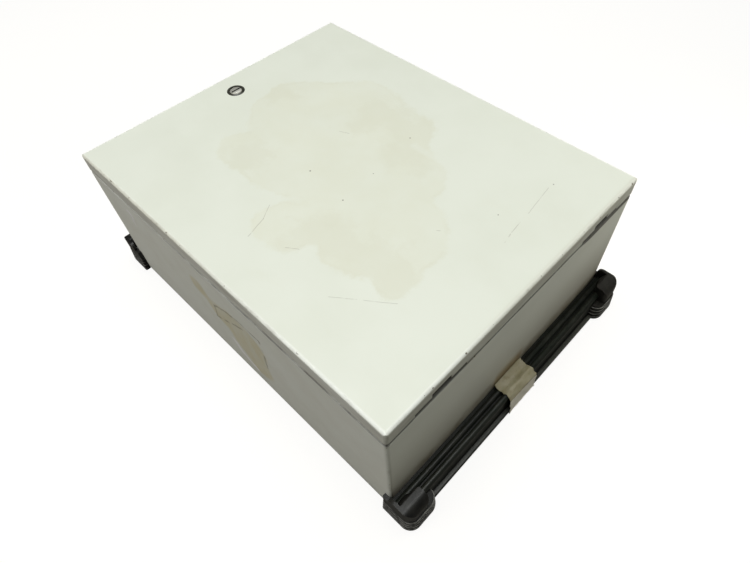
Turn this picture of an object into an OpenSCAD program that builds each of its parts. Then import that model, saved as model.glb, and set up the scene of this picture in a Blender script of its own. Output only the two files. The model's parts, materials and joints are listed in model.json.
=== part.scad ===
// Wall-fixing sheet-steel utility cabinet, lying on its back with the door up.
// Millimetres. Origin on the back plane at the middle, +Z out through the door,
// +X towards the hinges, +Y towards the side that hangs at the bottom on a wall.

/* [Cabinet] */
// Width from the lock side to the hinge side
cab_w = 500; // [420:1:600]
// Height as it hangs on a wall, along Y here
cab_h = 400; // [360:1:500]
// Depth from the back to the face of the door
cab_d = 210; // [170:1:300]
// Sheet thickness of the body
body_t = 1.5; // [1.2:0.1:2]
// Outside radius of the body's bends
body_bend = 3; // [2.5:0.1:3.5]
// Outside radius of the body's upright corners
body_corner = 4; // [3:0.5:8]
// Width of the front rim that is folded inwards
rim_w = 14; // [13.5:0.5:18]
// Height of the sealing lip above the rim
lip_h = 14; // [10:0.5:16]

/* [Wall fixing] */
// Distance of each fixing hole from the cabinet's sides
fix_inset = 25; // [23:0.5:28]
// Diameter of the fixing holes
fix_d = 9; // [7:0.5:11]

/* [Door] */
// Depth of the door's folded edge
door_edge = 21; // [19:0.5:28]
// Sheet thickness of the door
door_t = 1.5; // [1.2:0.1:1.8]
// Gap between the door's edge and the rim
door_gap = 4; // [3.6:0.1:6]
// Outside radius of the bend round the door's face
door_bend = 3; // [2.5:0.1:4]
// Radius of the door's corners seen from the front
door_corner = 4; // [3.5:0.5:8]
// Width of the foamed seal
seal_w = 10; // [7:0.5:10.5]

/* [Hinges] */
// Distance of each hinge's middle from the door's end
hinge_end = 70; // [60:1:110]
// Distance of the hinge axis from the outside of the door's edge
hinge_inset = 5.5; // [5.2:0.1:5.8]
// Height of the hinge axis above the door's open edge
hinge_rise = 5; // [4.5:0.1:5.5]
// Diameter of the hinge pins
pin_d = 4; // [3:0.1:4.6]
// Length of the body's knuckle
lug_len = 22; // [16:0.5:28]
// Length of each of the door's knuckles
arm_len = 12; // [8:0.5:16]
// Length of the bracket's foot on the rim
bracket_len = 64; // [50:1:80]
// Thickness of the bracket's foot
bracket_t = 2.5; // [2:0.1:3]

/* [Lock] */
// Diameter of the lock's bezel
bezel_d = 23; // [22.5:0.5:28]
// Height of the bezel above the door
bezel_h = 1.3; // [1.2:0.1:3]
// Diameter of the threaded barrel
barrel_d = 20; // [19:0.5:21]
// Length of the barrel below the door's face
barrel_len = 20; // [17:0.5:22]
// Diameter of the turning core
core_d = 15; // [14:0.5:15.5]
// Width across the flats of the lock nut
lock_nut_af = 27; // [26:0.5:30]
// Thickness of the lock nut
lock_nut_h = 5; // [4:0.5:7]
// Overlap of the latched cam behind the rim
cam_hold = 7; // [4:0.5:9]
// Width of the cam
cam_w = 15; // [12:0.5:18]
// Thickness of the cam
cam_t = 3; // [2:0.25:4]

/* [Mounting plate] */
// Thickness of the mounting plate
plate_t = 2; // [1.5:0.25:3]
// Free margin between the plate and the cabinet's outside
plate_margin = 38; // [36:0.5:60]
// Distance of the studs from the plate's edges
stud_inset = 15; // [12:0.5:25]
// Height of the studs' shoulders under the plate
stud_shoulder = 12; // [8:0.5:25]
// Thread diameter of the studs
stud_d = 8; // [6:0.5:8]

/* [Gland plate] */
// Length of the cable opening, along the cabinet's width
gland_w = 220; // [120:1:260]
// Width of the cable opening, along the cabinet's depth
gland_l = 70; // [40:1:80]
// Rim of the gland plate round the opening
gland_rim = 16; // [14:0.5:20]
// Thickness of the gland plate
gland_t = 2; // [1.5:0.25:2.5]
// Thickness of the gland plate's seal
gland_seal_t = 2; // [1:0.25:3]

/* [Side rails] */
// Width of the rail's box section
rail_w = 22; // [19:0.5:24]
// Height of the rail to the top of its outer bead
rail_h = 36; // [30:0.5:40]
// Width of the foot lip beyond the box section
rail_lip_w = 6; // [4:0.5:7]
// Thickness of the foot lip
rail_lip_t = 4.5; // [3:0.5:6]
// Radius of the outer bead
bead_outer_r = 4; // [3:0.25:5]
// Height of the outer bead above the rail's shoulder
bead_outer_rise = 6.5; // [5:0.5:8]
// Radius of the inner bead
bead_inner_r = 4.2; // [3.4:0.1:4.4]
// Height of the inner bead above the rail's shoulder
bead_inner_rise = 4.5; // [3:0.5:5]
// Wall of the hollow rail
rail_wall = 4; // [3:0.25:5]
// Distance of the rail's own screws from the cabinet's ends
rail_screw_end = 110; // [80:1:140]
// Height of the screws in rails and caps above the back
rail_screw_z = 14; // [12:0.5:18]
// Thread diameter of the screws in rails and caps
rail_screw_d = 6; // [5:0.5:6]

/* [Rail end caps] */
// Length of a cap along the rail
cap_len = 48; // [44:0.5:60]
// Width of a cap at its foot
cap_w = 35.5; // [34:0.5:42]
// Reach of a cap past the cabinet's end
cap_over = 7; // [7:0.5:10]
// Height of the hood
cap_h = 47; // [44:0.5:60]
// Distance of the hood's inner edge from the cabinet
hood_in = 12.5; // [10:0.5:13]
// Distance of the hood's outer edge from the cabinet
hood_out = 32; // [31:0.5:34]
// Length of the hood
hood_len = 34; // [30:0.5:40]
// Rounding of the hood's outer shoulder
hood_r = 12; // [8:0.5:13]
// Rounding of the hood's nose in plan
nose_r = 6; // [3:0.5:8]
// Corner radius of the cap in plan
cap_corner = 14; // [10:0.5:16]
// Thickness of the end plate
end_t = 4; // [3:0.5:5]
// Number of ribs round the foot
rib_count = 4; // [3:1:5]
// Height from rib to rib
rib_pitch = 6; // [5:0.25:6.5]
// Height of one rib
rib_h = 3.6; // [2.5:0.1:4.5]
// Depth of the grooves between the ribs
rib_depth = 1.3; // [0.6:0.1:1.6]
// Step inwards from one rib to the next
rib_step = 0.5; // [0.3:0.1:0.6]
// Reach of the cap's ear round the cabinet's corner
ear_w = 8; // [4:0.5:12]
// Height of the ear
ear_h = 37; // [30:0.5:42]

/* [Tape] */
// Width of the tape round the hinge-side rail
tape_w = 50; // [30:1:60]
// Place of the tape's middle along the rail
tape_y = 0; // [-20:1:20]
// Thickness of the tape
tape_t = 0.5; // [0.3:0.1:1]

/* [Hidden] */
$fn = 64;

// Clearances
run_fit = 0.05;
seat_fit = 0.1;
slip_fit = 0.2;
seal_gap = 0.3;
cam_gap = 1.5;
bracket_gap = 0.7;
throat_gap = 0.7;
side_gap = 1;
lock_gap = 1.75;
throat_side_gap = 2;
notch_side_gap = 3;
cut = 1;

// Sizes of screws, nuts and washers as shares of their thread diameter
head_ratio = 1.9;
head_h_ratio = 0.6;
head_slot_ratio = 0.2;
nut_af_ratio = 1.625;
nut_h_ratio = 0.8;
washer_ratio = 2;
collar_ratio = 1.5;
screw_tip = 2;

// Levels and planes
body_d = cab_d - door_edge - door_gap;
half_w = cab_w / 2;
half_h = cab_h / 2;
door_z = cab_d - door_edge;
door_in_z = cab_d - door_t;
rim_in_z = body_d - body_t;
lip_top = body_d + lip_h;
lip_mid = rim_w + body_t / 2;
lip_corner = 6;

// Hinge
hinge_y = half_h - hinge_end;
axis_x = half_w - hinge_inset;
axis_z = door_z + hinge_rise;
knuckle_r = hinge_inset - door_t - slip_fit;
throat_len = lug_len + 2 * throat_side_gap;
throat_depth = hinge_rise + knuckle_r + throat_gap;
notch_len = bracket_len + 2 * notch_side_gap;
notch_margin = 1.5;
notch_depth = hinge_rise - notch_margin;
bracket_x = half_w - rim_w + bracket_gap;
leaf_foot_t = 3;
leaf_w = knuckle_r + hinge_inset - door_bend;
leaf_len = lug_len + 2 * side_gap + 2 * arm_len;
pin_head_step = 1;
pin_head_d = pin_d + 2 * pin_head_step;
pin_head_h = 1.2;
hinge_screw_d = 4;
hinge_screw_edge = 5;
hinge_screw_y = lug_len / 2 - hinge_screw_edge;
hinge_screw_x = (bracket_x + axis_x) / 2;
hinge_screw_len = 8;

// Lock
lock_x = -half_w + lip_mid + seal_w / 2 + lock_nut_af / 2 + lock_gap;
cam_z = rim_in_z - cam_gap - cam_t;
cam_len = lock_x + half_w - rim_w + cam_hold;
bezel_bevel_w = 1.6;
bezel_bevel_h = 1;
core_step = 3;
core_shaft_d = core_d - 2 * core_step;
core_flat = 1;
core_square = core_shaft_d - 2 * core_flat;
core_sink = 0.3;
core_bevel_w = 2.5;
core_bevel_h = 0.6;
core_face_z = cab_d + bezel_h - core_sink;
barrel_floor = 3;
slot_w = 1.6;
slot_edge = 1.2;
slot_l = core_d - 2 * slot_edge;
slot_depth = 3;
cam_screw_d = 5;
cam_screw_len = 10;

// Mounting plate and studs
plate_w = cab_w - 2 * plate_margin;
plate_l = cab_h - 2 * plate_margin;
plate_z = body_t + stud_shoulder;
plate_corner = 6;
stud_x = plate_w / 2 - stud_inset;
stud_y = plate_l / 2 - stud_inset;
washer_t = 1.6;
nut_h = nut_h_ratio * stud_d;
stud_len = stud_shoulder + plate_t + washer_t + nut_h + screw_tip;

// Earth studs
earth_collar_h = 2;
earth_len = earth_collar_h + washer_t + 2 * nut_h + 2 * seat_fit + 2 * screw_tip;
earth_body_x = -(plate_w / 2 + half_w) / 2;
earth_body_y = -half_h / 2;
earth_door_inset = 50;
earth_door_x = half_w - earth_door_inset;
earth_door_y = -half_h + earth_door_inset;

// Gland plate
gland_z = (body_t + rim_in_z) / 2;
gland_plate_w = gland_w + 2 * gland_rim;
gland_plate_l = gland_l + 2 * gland_rim;
gland_corner = 4;
gland_screw_d = 5;
gland_nut_h = nut_h_ratio * gland_screw_d;
gland_screw_x = gland_w / 2 + gland_rim / 2;
gland_screw_z = gland_l / 2 + gland_rim / 2;
gland_screw_len = gland_t + gland_seal_t + body_t + gland_nut_h + screw_tip;

// Rails and caps
plate_in = rib_count * rib_step;
rail_end = half_h + cap_over - plate_in - end_t - seat_fit;
rail_shoulder = rail_h - bead_outer_rise;
bead_outer_x = rail_w - bead_outer_r;
bead_inner_gap = 3.8;
bead_inner_x = bead_inner_r + bead_inner_gap;
bead_inner_z = rail_shoulder + bead_inner_rise - bead_inner_r;
rail_screw_y = half_h - rail_screw_end;
rail_screw_len = body_t + rail_w / 2;
cap_screw_cover = 4;
cap_screw_len = body_t + hood_out - cap_screw_cover;
cap_screw_inset = 10;
cap_screw_y = half_h - body_t - cap_screw_inset;
hood_edge_r = 2.5;
plate_edge_r = 8;
ear_r = 2;

// Tape
tape_rise = 1.5;
tape_fold = 6.5;

paint = [0.88, 0.89, 0.84];
zinc = [0.72, 0.73, 0.72];
steel = [0.62, 0.63, 0.64];
black = [0.13, 0.13, 0.13];
foam = [0.2, 0.2, 0.21];
tan_tape = [0.55, 0.5, 0.38];

// Rectangle with round corners, centred
module round_rect(w, l, r) {
    square([w - 2 * r, l], center = true);
    square([w, l - 2 * r], center = true);
    for (sx = [-1, 1], sy = [-1, 1])
        translate([sx * (w / 2 - r), sy * (l / 2 - r)])
            circle(r);
}

// Upright section of a folded box: bend radii at the foot and at the top
module fold_section(w, h, foot_r, top_r) {
    translate([-w / 2, foot_r])
        square([w, h - foot_r - top_r]);
    translate([-w / 2 + max(foot_r, top_r), 0])
        square([w - 2 * max(foot_r, top_r), h]);
    if (foot_r > 0)
        for (s = [-1, 1])
            translate([s * (w / 2 - foot_r), foot_r])
                circle(foot_r);
    if (top_r > 0)
        for (s = [-1, 1])
            translate([s * (w / 2 - top_r), h - top_r])
                circle(top_r);
}

// Box with round upright corners and bent edges, standing on z = 0
module folded_box(w, l, h, corner, foot_r, top_r) {
    intersection() {
        linear_extrude(h)
            round_rect(w, l, corner);
        rotate([90, 0, 0])
            linear_extrude(l, center = true)
                fold_section(w, h, foot_r, top_r);
        rotate([90, 0, 90])
            linear_extrude(w, center = true)
                fold_section(l, h, foot_r, top_r);
    }
}

// Screw with a slotted pan head: head above z = 0, shank below
module pan_screw(d, len) {
    head_d = head_ratio * d;
    head_h = head_h_ratio * d;
    slot = head_slot_ratio * d;
    difference() {
        union() {
            cylinder(d = head_d, h = head_h);
            translate([0, 0, -len])
                cylinder(d = d, h = len);
        }
        translate([-head_d, -slot / 2, head_h / 2])
            cube([2 * head_d, slot, head_h]);
    }
}

module hex_nut(af, bore_d, h) {
    difference() {
        cylinder(d = af / cos(30), h = h, $fn = 6);
        translate([0, 0, -cut])
            cylinder(d = bore_d, h = h + 2 * cut);
    }
}

module washer(d, bore_d, h) {
    difference() {
        cylinder(d = d, h = h);
        translate([0, 0, -cut])
            cylinder(d = bore_d, h = h + 2 * cut);
    }
}

module at_corners(x, y) {
    for (sx = [-1, 1], sy = [-1, 1])
        translate([sx * x, sy * y, 0])
            children();
}

// Places of the gland plate's screws, with z along the outward normal of the bottom side
module at_gland_screws() {
    for (sx = [-1, 0, 1], sz = [-1, 1])
        translate([sx * gland_screw_x, half_h, gland_z + sz * gland_screw_z])
            rotate([-90, 0, 0])
                children();
}

// Two screw places at +y and -y on the hinge side, with z pointing into the cabinet
module at_side_screws(y) {
    for (s = [-1, 1])
        translate([half_w, s * y, rail_screw_z])
            rotate([0, -90, 0])
                children();
}

// Blind bore from the cabinet's side for one of those screws
module side_screw_bore(len) {
    translate([0, 0, body_t - len])
        cylinder(d = rail_screw_d + 2 * seat_fit, h = len - body_t + cut);
}

module both_sides() {
    children();
    mirror([1, 0, 0])
        children();
}

module body_shell() {
    inner_corner = body_corner - body_t;
    inner_bend = body_bend - body_t;
    mouth_w = cab_w - 2 * rim_w;
    mouth_l = cab_h - 2 * rim_w;
    color(paint)
        difference() {
            union() {
                folded_box(cab_w, cab_h, body_d, body_corner, body_bend, body_bend);
                translate([0, 0, rim_in_z])
                    linear_extrude(lip_top - rim_in_z)
                        round_rect(mouth_w, mouth_l, lip_corner);
            }
            translate([0, 0, body_t])
                folded_box(cab_w - 2 * body_t, cab_h - 2 * body_t, body_d - 2 * body_t,
                    inner_corner, inner_bend, inner_bend);
            translate([0, 0, body_t + body_bend])
                linear_extrude(lip_top)
                    round_rect(mouth_w - 2 * body_t, mouth_l - 2 * body_t, lip_corner - body_t);
            at_corners(half_w - fix_inset, half_h - fix_inset)
                translate([0, 0, -cut])
                    cylinder(d = fix_d, h = body_t + 2 * cut);
            translate([-gland_w / 2, half_h - body_t - cut, gland_z - gland_l / 2])
                cube([gland_w, body_t + 2 * cut, gland_l]);
            at_gland_screws()
                translate([0, 0, -body_t - cut])
                    cylinder(d = gland_screw_d + 2 * slip_fit, h = body_t + 2 * cut);
            both_sides()
                for (y = [rail_screw_y, cap_screw_y])
                    at_side_screws(y)
                        translate([0, 0, -cut])
                            cylinder(d = rail_screw_d + 2 * slip_fit, h = body_t + 2 * cut);
            for (s = [-1, 1], t = [-1, 1])
                translate([hinge_screw_x, s * hinge_y + t * hinge_screw_y, rim_in_z - cut])
                    cylinder(d = hinge_screw_d + 2 * slip_fit, h = body_t + 2 * cut);
        }
}

module mounting_plate() {
    color(zinc)
        translate([0, 0, plate_z])
            linear_extrude(plate_t)
                difference() {
                    round_rect(plate_w, plate_l, plate_corner);
                    for (sx = [-1, 1], sy = [-1, 1])
                        translate([sx * stud_x, sy * stud_y])
                            circle(d = stud_d + 2 * slip_fit);
                }
}

module plate_studs() {
    color(steel)
        at_corners(stud_x, stud_y)
            translate([0, 0, body_t]) {
                cylinder(d = collar_ratio * stud_d, h = stud_shoulder);
                cylinder(d = stud_d, h = stud_len);
            }
}

module plate_washers() {
    color(zinc)
        at_corners(stud_x, stud_y)
            translate([0, 0, plate_z + plate_t])
                washer(washer_ratio * stud_d, stud_d + 2 * slip_fit, washer_t);
}

module plate_nuts() {
    color(steel)
        at_corners(stud_x, stud_y)
            translate([0, 0, plate_z + plate_t + washer_t])
                hex_nut(nut_af_ratio * stud_d, stud_d + 2 * seat_fit, nut_h);
}

// Welded earth stud, standing on z = 0
module earth_stud() {
    cylinder(d = collar_ratio * stud_d, h = earth_collar_h);
    cylinder(d = stud_d, h = earth_len);
}

// Washer and two nuts on an earth stud
module earth_nuts() {
    translate([0, 0, earth_collar_h])
        washer(washer_ratio * stud_d, stud_d + 2 * slip_fit, washer_t);
    for (k = [0, 1])
        translate([0, 0, earth_collar_h + washer_t + seat_fit + k * (nut_h + seat_fit)])
            hex_nut(nut_af_ratio * stud_d, stud_d + 2 * seat_fit, nut_h);
}

module on_body_earth() {
    translate([earth_body_x, earth_body_y, body_t])
        children();
}

module on_door_earth() {
    translate([earth_door_x, earth_door_y, door_in_z])
        rotate([180, 0, 0])
            children();
}

module earth_stud_body() {
    color(steel)
        on_body_earth()
            earth_stud();
}

module earth_nuts_body() {
    color(zinc)
        on_body_earth()
            earth_nuts();
}

module earth_stud_door() {
    color(steel)
        on_door_earth()
            earth_stud();
}

module earth_nuts_door() {
    color(zinc)
        on_door_earth()
            earth_nuts();
}

// Flat piece on the outside of the bottom side, drilled for the gland plate's screws
module gland_layer(from, thickness) {
    difference() {
        translate([0, half_h + from, gland_z])
            rotate([-90, 0, 0])
                linear_extrude(thickness)
                    round_rect(gland_plate_w, gland_plate_l, gland_corner);
        at_gland_screws()
            translate([0, 0, from - cut])
                cylinder(d = gland_screw_d + 2 * slip_fit, h = thickness + 2 * cut);
    }
}

module gland_seal() {
    color(foam)
        difference() {
            gland_layer(0, gland_seal_t);
            translate([-gland_w / 2, half_h - cut, gland_z - gland_l / 2])
                cube([gland_w, gland_seal_t + 2 * cut, gland_l]);
        }
}

module gland_plate() {
    color(paint)
        gland_layer(gland_seal_t, gland_t);
}

module gland_screws() {
    color(steel)
        at_gland_screws()
            translate([0, 0, gland_seal_t + gland_t])
                pan_screw(gland_screw_d, gland_screw_len);
}

module gland_nuts() {
    color(steel)
        at_gland_screws()
            translate([0, 0, -body_t - gland_nut_h])
                hex_nut(nut_af_ratio * gland_screw_d, gland_screw_d + 2 * seat_fit, gland_nut_h);
}

// Bracket on the rim that carries the middle knuckle of one hinge
module hinge_bracket(s) {
    foot_w = axis_x - bracket_x;
    color(zinc)
        difference() {
            union() {
                translate([bracket_x, s * hinge_y - bracket_len / 2, body_d])
                    cube([foot_w, bracket_len, bracket_t]);
                translate([bracket_x, s * hinge_y - lug_len / 2, body_d])
                    cube([foot_w, lug_len, axis_z - body_d]);
                translate([axis_x, s * hinge_y, axis_z])
                    rotate([90, 0, 0])
                        cylinder(r = knuckle_r, h = lug_len, center = true);
            }
            translate([axis_x, s * hinge_y, axis_z])
                rotate([90, 0, 0])
                    cylinder(d = pin_d + 2 * run_fit, h = lug_len + 2 * cut, center = true);
            for (t = [-1, 1])
                translate([hinge_screw_x, s * hinge_y + t * hinge_screw_y, body_d - cut])
                    cylinder(d = hinge_screw_d + 2 * seat_fit, h = hinge_screw_len - body_t + cut);
        }
}

module hinge_bracket_top() {
    hinge_bracket(-1);
}

module hinge_bracket_bottom() {
    hinge_bracket(1);
}

module hinge_screws() {
    color(steel)
        for (s = [-1, 1], t = [-1, 1])
            translate([hinge_screw_x, s * hinge_y + t * hinge_screw_y, rim_in_z])
                rotate([180, 0, 0])
                    pan_screw(hinge_screw_d, hinge_screw_len);
}

// Leaf inside the door that carries the two outer knuckles of one hinge
module hinge_leaf(s) {
    color(zinc)
        difference() {
            union() {
                translate([axis_x - knuckle_r, s * hinge_y - leaf_len / 2, door_in_z - leaf_foot_t])
                    cube([leaf_w, leaf_len, leaf_foot_t]);
                for (t = [-1, 1])
                    translate([axis_x, s * hinge_y + t * (leaf_len - arm_len) / 2, 0]) {
                        translate([-knuckle_r, -arm_len / 2, axis_z])
                            cube([leaf_w, arm_len, door_in_z - axis_z]);
                        translate([0, 0, axis_z])
                            rotate([90, 0, 0])
                                cylinder(r = knuckle_r, h = arm_len, center = true);
                    }
            }
            translate([axis_x, s * hinge_y, axis_z])
                rotate([90, 0, 0])
                    cylinder(d = pin_d, h = leaf_len + 2 * cut, center = true);
        }
}

module hinge_leaf_top() {
    hinge_leaf(-1);
}

module hinge_leaf_bottom() {
    hinge_leaf(1);
}

module hinge_pin(s) {
    color(steel)
        translate([axis_x, s * hinge_y, axis_z])
            rotate([s * 90, 0, 0]) {
                cylinder(d = pin_d, h = leaf_len, center = true);
                translate([0, 0, leaf_len / 2])
                    cylinder(d = pin_head_d, h = pin_head_h);
            }
}

module hinge_pin_top() {
    hinge_pin(-1);
}

module hinge_pin_bottom() {
    hinge_pin(1);
}

module door_panel() {
    color(paint)
        difference() {
            translate([0, 0, door_z])
                folded_box(cab_w, cab_h, door_edge, door_corner, 0, door_bend);
            translate([0, 0, door_z - cut])
                folded_box(cab_w - 2 * door_t, cab_h - 2 * door_t, door_edge - door_t + cut,
                    door_corner - door_t, 0, door_bend - door_t);
            for (s = [-1, 1]) {
                translate([half_w - door_t - cut, s * hinge_y - notch_len / 2, door_z - cut])
                    cube([door_t + 2 * cut, notch_len, notch_depth + cut]);
                translate([half_w - door_t - cut, s * hinge_y - throat_len / 2, door_z - cut])
                    cube([door_t + 2 * cut, throat_len, throat_depth + cut]);
            }
            translate([lock_x, 0, door_in_z - cut])
                cylinder(d = barrel_d + 2 * slip_fit, h = door_t + 2 * cut);
        }
}

module door_seal() {
    outer_inset = lip_mid - seal_w / 2;
    inner_inset = lip_mid + seal_w / 2;
    color(foam)
        translate([0, 0, lip_top + seal_gap])
            linear_extrude(door_in_z - lip_top - seal_gap)
                difference() {
                    round_rect(cab_w - 2 * outer_inset, cab_h - 2 * outer_inset, lip_corner + seal_w / 2);
                    round_rect(cab_w - 2 * inner_inset, cab_h - 2 * inner_inset, lip_corner);
                }
}

module lock_housing() {
    bezel_top = cab_d + bezel_h;
    floor_z = cab_d - barrel_len;
    color(black)
        translate([lock_x, 0, 0])
            rotate_extrude()
                polygon([
                    [core_d / 2, bezel_top],
                    [bezel_d / 2 - bezel_bevel_w, bezel_top],
                    [bezel_d / 2, bezel_top - bezel_bevel_h],
                    [bezel_d / 2, cab_d],
                    [barrel_d / 2, cab_d],
                    [barrel_d / 2, floor_z],
                    [core_shaft_d / 2, floor_z],
                    [core_shaft_d / 2, floor_z + barrel_floor],
                    [core_d / 2, floor_z + barrel_floor]
                ]);
}

module lock_nut() {
    color(zinc)
        translate([lock_x, 0, door_in_z - lock_nut_h])
            rotate([0, 0, 30])
                hex_nut(lock_nut_af, barrel_d + 2 * seat_fit, lock_nut_h);
}

// Turning core: slotted and bevelled face, shoulder in the barrel, square for the cam
module lock_core() {
    shoulder_z = cab_d - barrel_len + barrel_floor;
    cam_top = cam_z + cam_t;
    bevel_z = core_face_z - core_bevel_h;
    color(steel)
        translate([lock_x, 0, 0])
            difference() {
                union() {
                    translate([0, 0, shoulder_z])
                        cylinder(d = core_d - 2 * run_fit, h = bevel_z - shoulder_z);
                    translate([0, 0, bevel_z])
                        cylinder(d1 = core_d - 2 * run_fit, d2 = core_d - 2 * core_bevel_w, h = core_bevel_h);
                    translate([0, 0, cam_top])
                        cylinder(d = core_shaft_d - 2 * run_fit, h = shoulder_z - cam_top);
                    translate([0, 0, cam_z])
                        linear_extrude(cam_t)
                            intersection() {
                                square(core_square, center = true);
                                circle(d = core_shaft_d - 2 * run_fit);
                            }
                }
                translate([-slot_w / 2, -slot_l / 2, core_face_z - slot_depth])
                    cube([slot_w, slot_l, slot_depth + cut]);
                translate([0, 0, cam_z - cut])
                    cylinder(d = cam_screw_d + 2 * seat_fit, h = cam_screw_len + cut);
            }
}

module lock_cam() {
    tip_r = cam_w / 2;
    color(zinc)
        translate([lock_x, 0, cam_z])
            linear_extrude(cam_t)
                difference() {
                    union() {
                        circle(d = cam_w);
                        translate([-cam_w / 2, 0])
                            square([cam_w, cam_len - tip_r]);
                        translate([0, cam_len - tip_r])
                            circle(tip_r);
                    }
                    square(core_square + 2 * seat_fit, center = true);
                }
}

module cam_screw() {
    color(steel)
        translate([lock_x, 0, cam_z])
            rotate([180, 0, 0])
                pan_screw(cam_screw_d, cam_screw_len);
}

// Section of a side rail: x outwards from the cabinet's side, y up from the back
module rail_section(grow) {
    lip_x = rail_w + rail_lip_w - rail_lip_t / 2;
    square([rail_w + grow, rail_shoulder + grow]);
    translate([bead_outer_x, rail_h - bead_outer_r])
        circle(bead_outer_r + grow);
    translate([bead_outer_x - bead_outer_r - grow, 0])
        square([2 * (bead_outer_r + grow), rail_h - bead_outer_r]);
    translate([bead_inner_x, bead_inner_z])
        circle(bead_inner_r + grow);
    square([lip_x, rail_lip_t + grow]);
    translate([lip_x, rail_lip_t / 2])
        circle(rail_lip_t / 2 + grow);
}

module along_rail(from, to) {
    translate([half_w, to, 0])
        rotate([90, 0, 0])
            linear_extrude(to - from)
                children();
}

// Hollow rail on the hinge side
module side_rail() {
    color(black)
        difference() {
            along_rail(-rail_end, rail_end)
                rail_section(0);
            along_rail(-rail_end - cut, rail_end + cut)
                translate([rail_wall, rail_lip_t])
                    square([rail_w - 2 * rail_wall, rail_shoulder - rail_wall - rail_lip_t]);
            at_side_screws(rail_screw_y)
                side_screw_bore(rail_screw_len);
            at_side_screws(cap_screw_y)
                side_screw_bore(body_t + rail_w + rail_lip_w);
        }
}

module rail_hinge_side() {
    side_rail();
}

module rail_lock_side() {
    mirror([1, 0, 0])
        side_rail();
}

// Plan of a cap: x outwards from the cabinet's side, y inwards from the cap's end
module cap_plan(width, from, to, r) {
    translate([0, from])
        square([width - r, to - from]);
    translate([0, from + r])
        square([width, to - from - 2 * r]);
    for (y = [from + r, to - r])
        translate([width - r, y])
            circle(r);
}

// Plan of the hood: round outer corner at the end, round nose over the rail
module hood_plan() {
    hood_w = hood_out - hood_in;
    translate([hood_in, plate_in])
        square([hood_w - hood_r, hood_len - nose_r - plate_in]);
    translate([hood_in, plate_in + hood_r])
        square([hood_w, hood_len - nose_r - plate_in - hood_r]);
    translate([hood_out - hood_r, plate_in + hood_r])
        circle(hood_r);
    translate([hood_in + nose_r, hood_len - 2 * nose_r])
        square([hood_w - 2 * nose_r, 2 * nose_r]);
    for (x = [hood_in + nose_r, hood_out - nose_r])
        translate([x, hood_len - nose_r])
            circle(nose_r);
}

// Upright section of the hood and of the end plate, between two edges
module hood_section(inner, top, inner_r) {
    translate([inner, 0])
        square([inner_r, top - inner_r]);
    translate([inner + inner_r, 0])
        square([hood_out - hood_r - inner - inner_r, top]);
    translate([inner, 0])
        square([hood_out - inner, top - hood_r]);
    translate([inner + inner_r, top - inner_r])
        circle(inner_r);
    translate([hood_out - hood_r, top - hood_r])
        circle(hood_r);
}

// Plan of the ear, set in from the cap's end
module ear_plan(inset) {
    translate([ear_r - ear_w, inset])
        square([ear_w - ear_r + cut, cap_over - inset]);
    translate([-ear_w, inset + ear_r])
        square([ear_r, cap_over - inset - ear_r]);
    translate([ear_r - ear_w, inset + ear_r])
        circle(ear_r);
}

// Ribbed foot: each rib is a little smaller than the one below, with a groove above it
module ribbed_foot() {
    for (i = [0 : rib_count - 1]) {
        inset = i * rib_step;
        groove = inset + rib_depth;
        translate([0, 0, i * rib_pitch])
            linear_extrude(rib_h) {
                cap_plan(cap_w - inset, inset, cap_len - inset, cap_corner - inset);
                ear_plan(inset);
            }
        translate([0, 0, i * rib_pitch])
            linear_extrude(rib_pitch) {
                cap_plan(cap_w - groove, groove, cap_len - groove, cap_corner - groove);
                ear_plan(groove);
            }
    }
}

// Form of a cap in its own frame: end face at y = 0, rail along +y, foot on z = 0
module cap_form() {
    ribbed_foot();
    intersection() {
        linear_extrude(cap_h)
            hood_plan();
        translate([0, hood_len, 0])
            rotate([90, 0, 0])
                linear_extrude(hood_len - plate_in)
                    hood_section(hood_in, cap_h, hood_edge_r);
    }
    intersection() {
        linear_extrude(cap_h)
            cap_plan(hood_out, plate_in, cap_len, hood_r);
        translate([0, plate_in + end_t, 0])
            rotate([90, 0, 0])
                linear_extrude(end_t)
                    hood_section(0, cap_h, plate_edge_r);
    }
    linear_extrude(ear_h)
        ear_plan(plate_in);
    translate([0, plate_in, 0])
        cube([hood_in, end_t, ear_h]);
}

// Cap at the hinge side's top end, with the pocket for the rail
module end_cap() {
    color(black)
        difference() {
            translate([half_w, -half_h - cap_over, 0])
                cap_form();
            along_rail(-rail_end - seat_fit, 0)
                rail_section(seat_fit);
            at_side_screws(cap_screw_y)
                side_screw_bore(cap_screw_len);
        }
}

module cap_hinge_top() {
    end_cap();
}

module cap_hinge_bottom() {
    mirror([0, 1, 0])
        end_cap();
}

module cap_lock_top() {
    mirror([1, 0, 0])
        end_cap();
}

module cap_lock_bottom() {
    mirror([1, 0, 0])
        mirror([0, 1, 0])
            end_cap();
}

// Screws in both rails, heads inside the cabinet
module side_screws(y, len) {
    color(steel)
        both_sides()
            at_side_screws(y)
                translate([0, 0, body_t])
                    pan_screw(rail_screw_d, len);
}

module rail_screws() {
    side_screws(rail_screw_y, rail_screw_len);
}

module cap_screws() {
    side_screws(cap_screw_y, cap_screw_len);
}

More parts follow.
